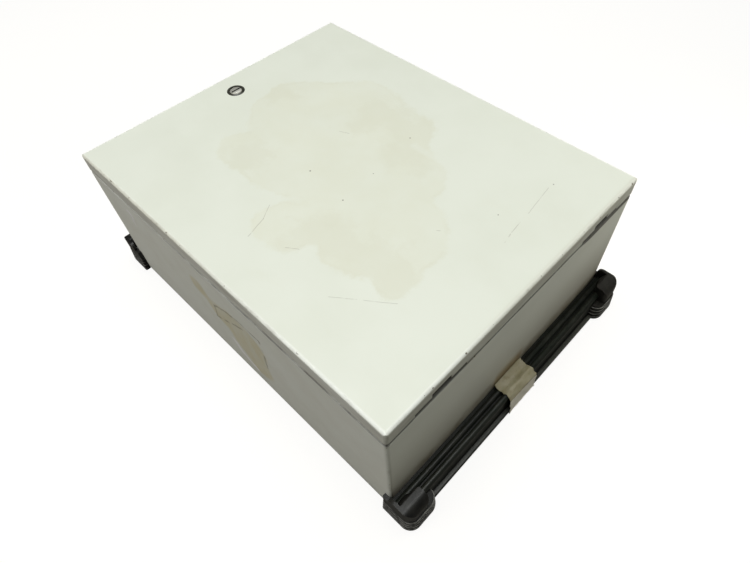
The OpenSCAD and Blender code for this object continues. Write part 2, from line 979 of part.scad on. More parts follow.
// Strip of tape from the cabinet's side over the outer bead, folded down to the foot lip
module tape_band() {
    crest_x = bead_outer_x + bead_outer_r * tan(22.5);
    fold_x = crest_x + tape_fold;
    fold_z = rail_h - tape_fold;
    lip_end = rail_w + rail_lip_w;
    lip_z = rail_lip_t * 2 / 3;
    side_z = rail_h + tape_rise;
    color(tan_tape)
        along_rail(tape_y - tape_w / 2, tape_y + tape_w / 2)
            polygon([
                [0, side_z],
                [bead_outer_x, rail_h],
                [crest_x, rail_h],
                [fold_x, fold_z],
                [lip_end, lip_z],
                [lip_end, 0],
                [lip_end + tape_t, 0],
                [lip_end + tape_t, lip_z],
                [fold_x + tape_t, fold_z],
                [crest_x, rail_h + tape_t],
                [bead_outer_x, rail_h + tape_t],
                [0, side_z + tape_t]
            ]);
}

body_shell();
mounting_plate();
plate_studs();
plate_washers();
plate_nuts();
earth_stud_body();
earth_nuts_body();
gland_seal();
gland_plate();
gland_screws();
gland_nuts();
hinge_bracket_top();
hinge_bracket_bottom();
hinge_screws();
rail_hinge_side();
rail_lock_side();
cap_hinge_top();
cap_hinge_bottom();
cap_lock_top();
cap_lock_bottom();
rail_screws();
cap_screws();
tape_band();
door_panel();
door_seal();
hinge_leaf_top();
hinge_leaf_bottom();
hinge_pin_top();
hinge_pin_bottom();
lock_housing();
lock_nut();
earth_stud_door();
earth_nuts_door();
lock_core();
lock_cam();
cam_screw();
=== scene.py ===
"""Looks of the wall-fixing utility cabinet: worn paint, black rails, tape, floor, light and camera."""

import json
import math

import bmesh
import bpy
from mathutils import Matrix, Vector, noise


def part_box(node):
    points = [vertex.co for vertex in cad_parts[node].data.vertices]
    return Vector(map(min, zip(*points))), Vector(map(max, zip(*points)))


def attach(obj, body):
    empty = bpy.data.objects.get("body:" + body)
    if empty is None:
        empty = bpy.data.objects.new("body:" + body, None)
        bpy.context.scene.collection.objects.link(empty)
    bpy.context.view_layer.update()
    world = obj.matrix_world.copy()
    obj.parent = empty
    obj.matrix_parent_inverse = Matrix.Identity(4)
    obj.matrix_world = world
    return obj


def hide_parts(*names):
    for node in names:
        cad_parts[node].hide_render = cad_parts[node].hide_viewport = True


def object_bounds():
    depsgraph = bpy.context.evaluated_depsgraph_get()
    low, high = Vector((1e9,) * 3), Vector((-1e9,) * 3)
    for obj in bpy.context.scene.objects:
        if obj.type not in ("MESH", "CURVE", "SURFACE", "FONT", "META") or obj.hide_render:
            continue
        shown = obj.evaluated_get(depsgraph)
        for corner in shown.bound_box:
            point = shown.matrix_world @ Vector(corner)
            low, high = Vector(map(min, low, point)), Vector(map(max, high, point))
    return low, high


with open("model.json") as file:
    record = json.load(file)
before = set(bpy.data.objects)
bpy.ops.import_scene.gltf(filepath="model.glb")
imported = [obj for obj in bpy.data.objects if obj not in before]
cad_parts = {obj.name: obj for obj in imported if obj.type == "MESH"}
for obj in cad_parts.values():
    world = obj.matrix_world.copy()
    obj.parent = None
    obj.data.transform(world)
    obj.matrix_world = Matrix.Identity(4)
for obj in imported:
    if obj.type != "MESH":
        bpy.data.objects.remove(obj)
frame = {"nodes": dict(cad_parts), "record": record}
cad_low, cad_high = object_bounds()
# One millimetre: the scene is in metres
MM = 0.001

# Photograph: size in pixels, focal length and optical centre in its pixels
PHOTO_W, PHOTO_H = 750, 563
FOCAL_PX = 547.1
CENTRE_PX = (393.3, 279.0)
# Camera round the cabinet, in degrees and metres
CAMERA_AZIMUTH = -44.77
CAMERA_ELEVATION = 53.22
CAMERA_ROLL = -2.05
CAMERA_DISTANCE = 0.6555
CAMERA_TARGET = Vector((0.0915, -0.0276, 0.105))
CAMERA_NEAR = 0.01
# Width of the camera's sensor in millimetres
SENSOR_W = 36.0

# Main planes, from the frame
body_low, body_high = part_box("body_shell")
door_low, door_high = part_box("door_panel")
rail_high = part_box("rail_hinge_side")[1]
tape_low, tape_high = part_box("tape_band")
lock_low, lock_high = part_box("lock_housing")
lock_centre = (lock_low + lock_high) / 2
body_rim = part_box("hinge_bracket_top")[0].z

# Distance over which neighbouring circles of a stain run into each other
BLOB_MERGE = 20 * MM


def srgb(red, green, blue):
    """Linear colour of an sRGB colour given from 0 to 255."""
    def linear(value):
        share = value / 255
        return share / 12.92 if share <= 0.04045 else ((share + 0.055) / 1.055) ** 2.4
    return (linear(red), linear(green), linear(blue), 1.0)


class Graph:
    """Shader nodes of one material, with short calls for the patterns used here."""

    def __init__(self, name):
        self.material = bpy.data.materials.new(name)
        self.material.use_nodes = True
        self.tree = self.material.node_tree
        self.shader = self.tree.nodes["Principled BSDF"]
        self.place = self.add("ShaderNodeTexCoord").outputs["Object"]

    def put(self, socket, value):
        """Link the socket to another one, or set its value."""
        if isinstance(value, bpy.types.NodeSocket):
            self.tree.links.new(value, socket)
        else:
            socket.default_value = value

    def add(self, kind, inputs=(), **settings):
        """New node with these settings and inputs."""
        node = self.tree.nodes.new(kind)
        for key, value in settings.items():
            setattr(node, key, value)
        for key, value in dict(inputs).items():
            self.put(node.inputs[key], value)
        return node

    def math(self, operation, *values, clamp=False):
        node = self.add("ShaderNodeMath", operation=operation, use_clamp=clamp)
        for socket, value in zip(node.inputs, values):
            self.put(socket, value)
        return node.outputs[0]

    def vector(self, operation, *values):
        node = self.add("ShaderNodeVectorMath", operation=operation)
        for socket, value in zip(node.inputs, values):
            self.put(socket, value)
        scalar = operation in ("DISTANCE", "LENGTH", "DOT_PRODUCT")
        return node.outputs["Value" if scalar else "Vector"]

    def scaled(self, vector, factor):
        node = self.add("ShaderNodeVectorMath", {0: vector, "Scale": factor}, operation="SCALE")
        return node.outputs["Vector"]

    def split(self, vector):
        """The vector's three parts."""
        return self.add("ShaderNodeSeparateXYZ", {0: vector}).outputs

    def product(self, *values):
        result = values[0]
        for value in values[1:]:
            result = self.math("MULTIPLY", result, value)
        return result

    def between(self, share, first, last):
        """Value that goes from first to last as share goes from 0 to 1."""
        return self.math("ADD", self.product(share, last - first), first)

    def step(self, value, zero_at, one_at):
        """Smooth step: 0 at zero_at, 1 at one_at, whichever is larger."""
        node = self.add("ShaderNodeMapRange", interpolation_type="SMOOTHSTEP")
        for socket, number in zip(node.inputs, (value, zero_at, one_at)):
            self.put(socket, number)
        return node.outputs[0]

    def noise(self, size, detail=3.0, roughness=0.55, stretch=(1, 1, 1), colour=False):
        """Noise with features of about that size in metres, drawn out by stretch."""
        place = self.vector("DIVIDE", self.place, stretch)
        inputs = {"Vector": place, "Scale": 1 / size, "Detail": detail, "Roughness": roughness}
        node = self.add("ShaderNodeTexNoise", inputs)
        return node.outputs["Color" if colour else 0]

    def patchy(self, size, zero_at, one_at, **settings):
        """Mask from noise of that size: 0 where the noise is at zero_at, 1 where it is at one_at."""
        return self.step(self.noise(size, **settings), zero_at, one_at)

    def shift(self, size, reach, **settings):
        """Vector of noise of that size, up to about reach long."""
        centred = self.vector("SUBTRACT", self.noise(size, colour=True, **settings), (0.5, 0.5, 0.5))
        return self.scaled(centred, 2 * reach)

    def warped(self, size, reach):
        """The place, shifted by noise of that size by up to about reach."""
        return self.vector("ADD", self.place, self.shift(size, reach))

    def blend(self, amount, first, second):
        node = self.add("ShaderNodeMix", data_type="RGBA")
        for index, value in ((0, amount), (6, first), (7, second)):
            self.put(node.inputs[index], value)
        return node.outputs[2]

    def tint(self, colour, tone, *masks, strength=1.0):
        """The colour, turned to tone by that strength where all masks are 1."""
        return self.blend(self.product(*masks, strength), colour, tone)

    def blobs(self, place, circles):
        """Distance to the edge of a union of circles, each a centre and a radius."""
        result = None
        for centre, radius in circles:
            edge = self.math("SUBTRACT", self.vector("DISTANCE", place, centre), radius)
            result = edge if result is None else self.math("SMOOTH_MIN", result, edge, BLOB_MERGE)
        return result

    def line(self, place, start, end):
        """Distance to a straight line from start to end."""
        run = Vector(end) - Vector(start)
        away = self.vector("SUBTRACT", place, start)
        share = self.vector("DOT_PRODUCT", away, tuple(run / run.length_squared))
        share = self.math("ADD", share, 0.0, clamp=True)
        return self.vector("DISTANCE", away, self.scaled(tuple(run), share))

    def polyline(self, place, points):
        """Distance to the nearest of the straight lines through the points."""
        result = None
        for start, end in zip(points, points[1:]):
            away = self.line(place, start, end)
            result = away if result is None else self.math("MINIMUM", result, away)
        return result

    def bump(self, height, distance, strength):
        inputs = {"Height": height, "Distance": distance, "Strength": strength}
        return self.add("ShaderNodeBump", inputs).outputs["Normal"]

    def upward(self):
        """Upward share of the surface's normal."""
        normal = self.add("ShaderNodeNewGeometry").outputs["Normal"]
        return self.split(normal)["Z"]

    def surface(self, colour, roughness, normal, metallic=0.0, **others):
        """The material, with its surface set; others are inputs by their names in small letters."""
        self.put(self.shader.inputs["Base Color"], colour)
        self.put(self.shader.inputs["Roughness"], roughness)
        self.put(self.shader.inputs["Normal"], normal)
        self.put(self.shader.inputs["Metallic"], metallic)
        for key, value in others.items():
            self.put(self.shader.inputs[key.replace("_", " ").title().replace("Ior", "IOR")], value)
        return self.material


# Colours of the paint, of the marks on it, and of the painted highlight, shade and shadow on it
PAINT = srgb(231, 234, 221)
PAINT_DULL = srgb(228, 231, 217)
# Painted highlight on the bends of the sheets that face up
PAINTED_EDGE_HIGHLIGHT = srgb(247, 249, 240)
# Painted shade on the door's bends
BEND_SHADE = srgb(196, 194, 174)
PRIMER = srgb(96, 82, 66)
STAIN = srgb(226, 227, 208)
STAIN_DARK = srgb(220, 220, 200)
# Brown grime; also the tone of the painted shade on the side walls
GRIME_AND_SHADE = srgb(120, 110, 88)
HAZE = srgb(210, 208, 192)
RESIDUE = srgb(214, 207, 168)
RESIDUE_RIM = srgb(128, 120, 92)
PALE = srgb(253, 252, 246)
GLUE = srgb(142, 118, 76)
# Painted shadow, with some dirt, in the gap under the door
GAP_SHADOW_AND_DIRT = srgb(52, 48, 40)
RUN_WHITE, RUN_DULL = srgb(253, 253, 250), srgb(244, 244, 238)
# Colours of the black plastic, of what lies on it, and of the painted shade and reflection on it
RAIL_DARK, RAIL_PALE = srgb(20, 24, 19), srgb(32, 38, 31)
CAP_DARK, CAP_PALE = srgb(12, 13, 12), srgb(19, 20, 19)
DUST = srgb(122, 116, 102)
SCUFF = srgb(140, 138, 132)
# Painted shade in the grooves between a cap's ribs
GROOVE_SHADE = srgb(14, 14, 13)
# Painted reflection along the upper edges of a cap's ribs
RIB_REFLECTION = srgb(150, 149, 142)
# Painted shade in the rail's valley beside the wall and on its outer wall
RAIL_SHADE = srgb(8, 8, 7)
LIP_DUST = srgb(112, 110, 103)
# Colours of the metal, the foam, the lock and the tape
ZINC = srgb(196, 198, 196)
STEEL = srgb(176, 178, 180)
# Dark tone of the hinge parts: painted shade in the notches under the door
HINGE_SHADE = srgb(84, 82, 76)
TARNISH = srgb(150, 140, 118)
FOAM_DARK, FOAM_PALE = srgb(42, 42, 43), srgb(66, 66, 66)
RING_DARK, RING_WORN = srgb(48, 48, 40), srgb(64, 63, 53)
# Painted highlight on the bezel beside the core
RING_HIGHLIGHT = srgb(205, 203, 190)
# Core's own pale tone, made near white as a painted highlight, and its dirt
CORE_TONE_AND_HIGHLIGHT, CORE_DIRTY = srgb(240, 239, 231), srgb(158, 154, 138)
# Painted shade on the core's -X half
CORE_SHADE = srgb(128, 126, 114)
# Painted shade in the key slot, with dirt along its edges
SLOT_SHADE_AND_DIRT = srgb(22, 21, 18)
TAPE_TAN, TAPE_CLOUDY = srgb(154, 147, 116), srgb(174, 168, 141)
TAPE_CREASE = srgb(138, 128, 100)
# Painted reflection on the tape's outer fold
TAPE_REFLECTION = srgb(255, 251, 234)
TAPE_SPECK = srgb(74, 66, 50)

# Powder coat: distances from a sheet's edge at which the painted highlight on its bends and its wear of each
# kind begin, and at which they are full
EDGE_HIGHLIGHT_BAND = (4.5 * MM, 2 * MM)
EDGE_RUBBED = (3.5 * MM, 0.5 * MM)
EDGE_CHIPPED = (2.2 * MM, 1.2 * MM)
# Powder coat: size and height of its orange peel, and depths of chips and scratches in such heights
PEEL, PEEL_H = 1.6 * MM, 0.05 * MM
CHIP_DEPTH, SCRATCH_DEPTH = 1.5, 0.8


def edge_distance(g, low, high):
    """Distance to the nearest outer edge of a box, along its faces."""
    near = []
    for value, start, end in zip(g.split(g.place), low, high):
        to_start = g.math("ABSOLUTE", g.math("SUBTRACT", value, start))
        to_end = g.math("ABSOLUTE", g.math("SUBTRACT", value, end))
        near.append(g.math("MINIMUM", to_start, to_end))
    pairs = [g.math("MAXIMUM", near[a], near[b]) for a, b in ((0, 1), (1, 2), (0, 2))]
    return g.math("MINIMUM", g.math("MINIMUM", pairs[0], pairs[1]), pairs[2])


def painted(name, low, high, edge_highlight, marks=None):
    """Pale powder coat with fine orange peel, a painted highlight on the bends that face up, chipped edges
    and the marks given.
    """
    g = Graph(name)
    colour = g.blend(g.patchy(90 * MM, 0.35, 0.7, detail=4), PAINT, PAINT_DULL)
    smear = g.patchy(35 * MM, 0.55, 0.8, detail=5, roughness=0.65, stretch=(3, 1, 1))
    colour = g.tint(colour, STAIN, smear, strength=0.22)
    roughness = g.patchy(50 * MM, -1.4, 2.4, detail=4)
    height = g.noise(PEEL, detail=2)
    edge = edge_distance(g, low, high)
    # Painted highlight: the bends that face up are turned paler
    lit = g.product(g.step(edge, *EDGE_HIGHLIGHT_BAND), g.step(g.upward(), 0.2, 0.6))
    colour = g.tint(colour, PAINTED_EDGE_HIGHLIGHT, lit, strength=edge_highlight)
    if marks:
        colour, height = marks(g, colour, height)
    edge_patches = g.product(g.step(edge, *EDGE_RUBBED), g.patchy(20 * MM, 0.5, 0.7, detail=4))
    colour = g.tint(colour, GRIME_AND_SHADE, edge_patches, strength=0.3)
    chip = g.product(g.step(edge, *EDGE_CHIPPED), g.patchy(5 * MM, 0.655, 0.675, detail=4))
    colour = g.tint(colour, PRIMER, chip)
    height = g.math("SUBTRACT", height, g.product(chip, CHIP_DEPTH))
    return g.surface(colour, roughness, g.bump(height, PEEL_H, strength=0.5))


# Depth in a sheet at which marks on its outer face end, and at which they are full
SKIN_END, SKIN_FULL = 0.8 * MM, 0.3 * MM


def skin(g, value, face, inward):
    """1 on the outer skin of the sheet whose face lies at that value, 0 deeper; inward is 1 or -1."""
    return g.step(value, face + inward * SKIN_END, face + inward * SKIN_FULL)


# Marks on the door, x and y in metres on its face, with their radius or half width
STAIN_CIRCLES = [
    ((-0.125, 0.030), 0.062), ((-0.070, 0.075), 0.062), ((-0.005, 0.080), 0.050), ((0.030, 0.005), 0.080),
    ((-0.060, -0.020), 0.075), ((0.110, -0.040), 0.055), ((0.022, -0.106), 0.037), ((0.090, -0.080), 0.040),
    ((-0.110, -0.060), 0.034), ((0.150, -0.080), 0.024),
]
DARK_CIRCLES = [
    ((0.137, -0.090), 0.036), ((0.107, -0.088), 0.030), ((0.058, -0.098), 0.036), ((0.010, 0.095), 0.030),
    ((-0.034, 0.088), 0.034), ((0.038, 0.053), 0.026), ((-0.100, -0.070), 0.026), ((-0.172, 0.035), 0.020),
]
SCRATCHES = [
    ((0.186, 0.121), (0.192, 0.075), 0.5 * MM),
    ((0.193, 0.059), (0.195, 0.042), 0.6 * MM),
    ((0.195, 0.042), (0.198, 0.026), 0.7 * MM),
    ((0.117, -0.139), (0.170, -0.101), 0.5 * MM),
    ((0.000, -0.144), (-0.008, -0.118), 0.7 * MM),
    ((-0.008, -0.118), (-0.019, -0.101), 0.5 * MM),
    ((0.040, -0.128), (0.052, -0.120), 0.6 * MM),
    ((-0.054, 0.034), (-0.042, 0.039), 0.6 * MM),
    ((0.137, -0.008), (0.144, -0.003), 0.6 * MM),
]
SPECKS = [
    ((-0.027, -0.036), 1.0 * MM), ((0.034, -0.043), 0.9 * MM), ((0.029, 0.009), 0.6 * MM),
    ((0.018, 0.082), 0.8 * MM), ((0.170, 0.052), 0.7 * MM), ((0.187, 0.129), 0.7 * MM),
]
PALE_STREAK = [(0.031, 0.074), (0.090, 0.076)]
# Distances from the outline of a mark at which it begins, and at which it is full
STAIN_FADE = (3 * MM, -5 * MM)
DARK_FADE = (12 * MM, -12 * MM)
SPECK_FADE = (0.3 * MM, -0.3 * MM)
STREAK_FADE = (7 * MM, 1 * MM)
# The stain's darker rim: how far inside the outline it runs, and its half width
STAIN_RIM_IN, STAIN_RIM_HALF = 3 * MM, 3.5 * MM
# How far noise shifts the stain's outline and clots its dark parts
STAIN_WAVES, STAIN_RAGGED, DARK_CLOTS = 16 * MM, 8 * MM, 45 * MM
# Depths below the door's face at which grime on its folds begins and is full
FOLD_GRIME = (3 * MM, 7 * MM)
# Depths below the door's face at which painted shade on its bends begins and is full
SHADED_BEND_DEPTHS = (8 * MM, 4 * MM)
# Directions that marks on the door's face lie in
DOOR_PLANE = (1, 1, 0)


def on_door(point):
    """Place in the door's plane of a point given as x and y."""
    return (point[0], point[1], 0)


def door_circles(circles):
    return [(on_door(centre), radius) for centre, radius in circles]


def stained(g, colour, face):
    """Dull beige patch with a wavy, darker edge and darker parts."""
    ragged = g.shift(12 * MM, STAIN_RAGGED, detail=5, roughness=0.7)
    at = g.vector("ADD", g.warped(50 * MM, STAIN_WAVES), ragged)
    at = g.vector("MULTIPLY", at, DOOR_PLANE)
    edge = g.blobs(at, door_circles(STAIN_CIRCLES))
    patch = g.product(g.step(edge, *STAIN_FADE), face)
    mottled = g.patchy(45 * MM, 0.2, 0.75, detail=5, roughness=0.6)
    colour = g.tint(colour, STAIN, patch, g.between(mottled, 0.3, 0.7))
    clots = g.between(g.noise(30 * MM, detail=5, roughness=0.65), -DARK_CLOTS, DARK_CLOTS)
    dark = g.math("ADD", g.blobs(at, door_circles(DARK_CIRCLES)), clots)
    colour = g.tint(colour, STAIN_DARK, g.step(dark, *DARK_FADE), patch, strength=0.38)
    rim = g.step(g.math("ABSOLUTE", g.math("ADD", edge, STAIN_RIM_IN)), STAIN_RIM_HALF, 0)
    return g.tint(colour, STAIN_DARK, rim, face, g.patchy(30 * MM, 0.4, 0.65), strength=0.35)


def grimy_folds_shaded_bends(g, colour):
    """Grime down the door's folds; painted shade on its bends at the visible end and on the hinge side, over
    the painted highlight there.
    """
    x, y, z = g.split(g.place)
    fold = g.step(z, door_high.z - FOLD_GRIME[0], door_high.z - FOLD_GRIME[1])
    smeared = g.patchy(7 * MM, 0.3, 0.75, detail=5, stretch=(9, 9, 1))
    colour = g.tint(colour, GRIME_AND_SHADE, fold, g.between(smeared, 0.12, 0.42))
    # Painted shade on the bends: at the visible end, stronger towards -X, and along the hinge side
    upper = g.step(z, door_high.z - SHADED_BEND_DEPTHS[0], door_high.z - SHADED_BEND_DEPTHS[1])
    near_end = g.step(y, door_low.y + 4 * MM, door_low.y + 1.5 * MM)
    colour = g.tint(colour, BEND_SHADE, near_end, upper, g.step(x, 0.2, -0.1), strength=0.6)
    hinge_side = g.step(x, door_high.x - 7 * MM, door_high.x - 1.5 * MM)
    return g.tint(colour, BEND_SHADE, hinge_side, g.step(y, -0.14, -0.02), upper, strength=0.45)


def scratched(g, colour, height, face):
    """Pale streak, broken scratches and dark specks."""
    at = g.vector("MULTIPLY", g.warped(12 * MM, 0.7 * MM), DOOR_PLANE)
    streak = g.polyline(at, [on_door(point) for point in PALE_STREAK])
    colour = g.tint(colour, PAINT, g.step(streak, *STREAK_FADE), face, strength=0.5)
    broken = g.patchy(9 * MM, 0.36, 0.5)
    for start, end, half_width in SCRATCHES:
        away = g.line(at, on_door(start), on_door(end))
        cut = g.product(g.step(away, half_width, 0.4 * half_width), face, broken)
        colour = g.tint(colour, GRIME_AND_SHADE, cut, strength=0.3)
        height = g.math("SUBTRACT", height, g.product(cut, SCRATCH_DEPTH))
    specks = g.step(g.blobs(at, door_circles(SPECKS)), *SPECK_FADE)
    return g.tint(colour, PRIMER, specks, face, strength=0.75), height


def door_marks(g, colour, height):
    """All marks on the door."""
    face = skin(g, g.split(g.place)["Z"], door_high.z, -1)
    colour = stained(g, colour, face)
    colour = grimy_folds_shaded_bends(g, colour)
    return scratched(g, colour, height, face)


# Marks on the body's visible end, x and z in metres
RESIDUE_CIRCLES = [
    ((-0.048, 0.136), 0.018), ((-0.014, 0.110), 0.024), ((0.018, 0.112), 0.030), ((0.036, 0.110), 0.030),
    ((0.026, 0.080), 0.034), ((0.036, 0.050), 0.024),
]
RESIDUE_EDGES = [
    [(-0.024, 0.120), (0.000, 0.134), (0.030, 0.143), (0.066, 0.143), (0.064, 0.118), (0.058, 0.074)],
    [(-0.024, 0.120), (-0.032, 0.090), (0.001, 0.110), (0.032, 0.131)],
]
PALE_SMEAR = [(-0.012, 0.058), (-0.001, 0.038), (0.023, 0.027)]
RESIDUE_FADE = (3 * MM, -6 * MM)
RESIDUE_EDGE_FADE = (2.6 * MM, 0.2 * MM)
PALE_FADE = (6 * MM, 2 * MM)
# Directions that marks on the visible end lie in
END_PLANE = (1, 0, 1)
# Heights at which darkening of the walls begins and is full: grime with painted shade dense just above the
# rails, a broad painted shade that reaches higher up the side walls, and grime at the foot
DENSE_GRIME_AND_SHADE = (68 * MM, 34 * MM)
SIDE_SHADE = (160 * MM, 30 * MM)
FOOT_GRIME = (20 * MM, 0.0)
# Glue beside the tape: how far it goes past the tape, and up from the rail
GLUE_BESIDE = (6 * MM, -4 * MM)
GLUE_UP = (38 * MM, 6 * MM)
# Depths below the body's rim at which the painted shadow line on the hinge side ends and is full
RIM_LINE = (2.5 * MM, 0.5 * MM)
# How much deeper that painted shadow line goes near the far hinge
RIM_DEEPER = 3 * MM
# Depths below the body's rim at which the painted shadow line on the visible end begins and is full
GAP_LINE = (3 * MM, 1.5 * MM)


def on_end(point):
    """Place in the visible end's plane of a point given as x and z."""
    return (point[0], 0, point[1])


def end_residue(g, colour, end):
    """Haze, a patch of old glue with broken dark edges, and a pale smear on the visible end."""
    colour = g.tint(colour, HAZE, g.patchy(50 * MM, 0.4, 0.7, detail=4), end, strength=0.25)
    at = g.vector("MULTIPLY", g.warped(30 * MM, 9 * MM), END_PLANE)
    edge = g.blobs(at, [(on_end(centre), radius) for centre, radius in RESIDUE_CIRCLES])
    streaky = g.patchy(20 * MM, 0.3, 0.7, detail=5, stretch=(1, 1, 2.5))
    colour = g.tint(colour, RESIDUE, g.step(edge, *RESIDUE_FADE), end, g.between(streaky, 0.4, 0.85))
    at = g.vector("MULTIPLY", g.warped(20 * MM, 2.5 * MM), END_PLANE)
    broken = g.patchy(15 * MM, 0.35, 0.6)
    for points in RESIDUE_EDGES:
        away = g.polyline(at, [on_end(point) for point in points])
        colour = g.tint(colour, RESIDUE_RIM, g.step(away, *RESIDUE_EDGE_FADE), end, broken, strength=0.7)
    away = g.polyline(at, [on_end(point) for point in PALE_SMEAR])
    return g.tint(colour, PALE, g.step(away, *PALE_FADE), end, strength=0.9)


def side_grime_and_shade(g, colour):
    """Grime with painted shade just above the rails, a broad painted shade that darkens the side walls
    downwards, more at the far end, and glue beside the tape.
    """
    x, y, z = g.split(g.place)
    sides = skin(g, g.math("ABSOLUTE", x), body_high.x, -1)
    blotchy = g.between(g.patchy(20 * MM, 0.3, 0.75, detail=5), 0.4, 0.85)
    # Grime with painted shade, dense just above the rails
    colour = g.tint(colour, GRIME_AND_SHADE, g.step(z, *DENSE_GRIME_AND_SHADE), sides, blotchy)
    # Painted shade: a broad darkening of the side walls towards the bottom, more at the far end
    far = g.between(g.step(y, 0, 0.15), 0.45, 0.6)
    colour = g.tint(colour, GRIME_AND_SHADE, g.step(z, *SIDE_SHADE), sides, far)
    past_near = g.step(y, tape_low.y - GLUE_BESIDE[0], tape_low.y - GLUE_BESIDE[1])
    past_far = g.step(y, tape_high.y + GLUE_BESIDE[0], tape_high.y + GLUE_BESIDE[1])
    up = g.step(z, rail_high.z + GLUE_UP[0], rail_high.z + GLUE_UP[1])
    hinge_side = g.step(x, 0, body_high.x)
    return g.tint(colour, GLUE, up, past_near, past_far, hinge_side, sides, strength=0.75)


def rim_lines(g, colour):
    """Painted shadow with some dirt in the gap under the door: a dark line along the hinge side, and an
    uneven one along the visible end.
    """
    x, y, z = g.split(g.place)
    # Painted shadow, with some dirt, in the gap under the door
    below = g.math("SUBTRACT", g.math("SUBTRACT", body_rim, z), g.product(g.step(y, 0.09, 0.12), RIM_DEEPER))
    hinge_side = g.step(x, body_high.x - 12 * MM, body_high.x - 4 * MM)
    rim = g.product(g.step(below, *RIM_LINE), hinge_side, 0.85)
    front = g.product(g.step(y, body_low.y + 6 * MM, body_low.y + 3 * MM), g.step(x, -0.35, 0.15))
    uneven = g.between(g.patchy(25 * MM, 0.3, 0.6, detail=4), 0.32, 0.72)
    gap = g.product(g.step(z, body_rim - GAP_LINE[0], body_rim - GAP_LINE[1]), front, uneven)
    return g.tint(colour, GAP_SHADOW_AND_DIRT, g.math("MAXIMUM", rim, gap))


def body_marks(g, colour, height):
    """All marks on the body."""
    _, y, z = g.split(g.place)
    end = skin(g, y, body_low.y, 1)
    colour = end_residue(g, colour, end)
    colour = side_grime_and_shade(g, colour)
    colour = rim_lines(g, colour)
    soiled = g.patchy(30 * MM, 0.4, 0.7, detail=5)
    colour = g.tint(colour, GRIME_AND_SHADE, g.step(z, *FOOT_GRIME), end, soiled, strength=0.35)
    return colour, height


def black_plastic(name, dark, pale, dust, grain, gloss, marks, along=(1, 1, 1)):
    """Black moulded or extruded plastic with dull streaks and dust on what faces up."""
    g = Graph(name)
    colour = g.blend(g.patchy(9 * MM, 0.3, 0.75, stretch=along), dark, pale)
    settled = g.product(g.step(g.upward(), 0.35, 0.95), g.patchy(18 * MM, 0.3, 0.75, detail=5))
    colour = g.tint(colour, DUST, settled, strength=dust)
    scuffs = g.patchy(2.5 * MM, 0.68, 0.74, detail=4, stretch=along)
    colour = g.tint(colour, SCUFF, scuffs, strength=0.16)
    roughness = g.between(g.noise(8 * MM, stretch=along), gloss, gloss + 0.16)
    colour, dull = marks(g, colour)
    normal = g.bump(g.noise(grain, detail=2), 0.04 * MM, strength=0.5)
    return g.surface(colour, roughness, normal, specular_ior_level=g.between(dull, 0.5, 0.08))


# Ribs round a cap's foot, and the rail's lip, shoulder and box width, as in the source
RIB_PITCH, RIB_H, RIB_TOP = 6 * MM, 3.6 * MM, 24 * MM
LIP_T, SHOULDER, BOX_W = 4.5 * MM, 29.5 * MM, 22 * MM


def rib_marks(g, colour):
    """Dust on the far caps, painted shade in the grooves between the ribs, and a painted reflection along
    the ribs' upper edges.
    """
    _, y, z = g.split(g.place)
    colour = g.tint(colour, DUST, g.step(y, 0, 0.15), strength=0.05)
    foot = g.step(z, RIB_TOP + 0.2 * MM, RIB_TOP)
    level = g.math("MODULO", z, RIB_PITCH)
    groove = g.step(level, RIB_H + 0.05 * MM, RIB_H + 0.2 * MM)
    # Painted shade in the grooves between the ribs
    colour = g.tint(colour, GROOVE_SHADE, groove, foot)
    # Painted reflection along the ribs' upper edges
    above = g.step(level, RIB_H - 0.5 * MM, RIB_H - 0.3 * MM)
    below = g.step(level, RIB_H + 0.1 * MM, RIB_H)
    edge_patches = g.patchy(7 * MM, 0.2, 0.6, detail=4)
    colour = g.tint(colour, RIB_REFLECTION, above, below, foot, edge_patches, strength=0.7)
    return colour, g.math("MAXIMUM", g.product(foot, 0.75), 0.15)


def rail_marks(g, colour):
    """Painted shade beside the rail's beads and down its outer wall, pale dust in specks on the foot lip."""
    x, y, z = g.split(g.place)
    out = g.math("SUBTRACT", g.math("ABSOLUTE", x), body_high.x)
    far = g.step(y, tape_low.y, tape_high.y)
    sunk = g.step(z, SHOULDER + 2.5 * MM, SHOULDER + 0.5 * MM)
    valley = g.product(sunk, g.step(out, BOX_W - 6.5 * MM, BOX_W - 7.5 * MM))
    wall_in = g.step(out, BOX_W - 1 * MM, BOX_W - 0.5 * MM)
    wall_out = g.step(out, BOX_W + 1 * MM, BOX_W + 0.2 * MM)
    wall = g.product(g.step(z, SHOULDER, 0.35 * SHOULDER), wall_in, wall_out)
    # Painted shade in the valley beside the wall and down the outer wall
    painted_shade = g.math("MAXIMUM", g.product(valley, 0.45), wall)
    colour = g.tint(colour, RAIL_SHADE, painted_shade, strength=0.85)
    specked = g.patchy(1.8 * MM, 0.3, 0.65, detail=4, roughness=0.7)
    lip = g.product(g.step(z, LIP_T + 1.5 * MM, LIP_T), g.step(out, BOX_W + 0.5 * MM, BOX_W + 1.5 * MM))
    dusty = g.math("ADD", g.product(specked, 0.2), g.between(far, 0.02, 0.14))
    colour = g.tint(colour, LIP_DUST, lip, dusty)
    return colour, g.math("MAXIMUM", painted_shade, g.product(far, 0.65))


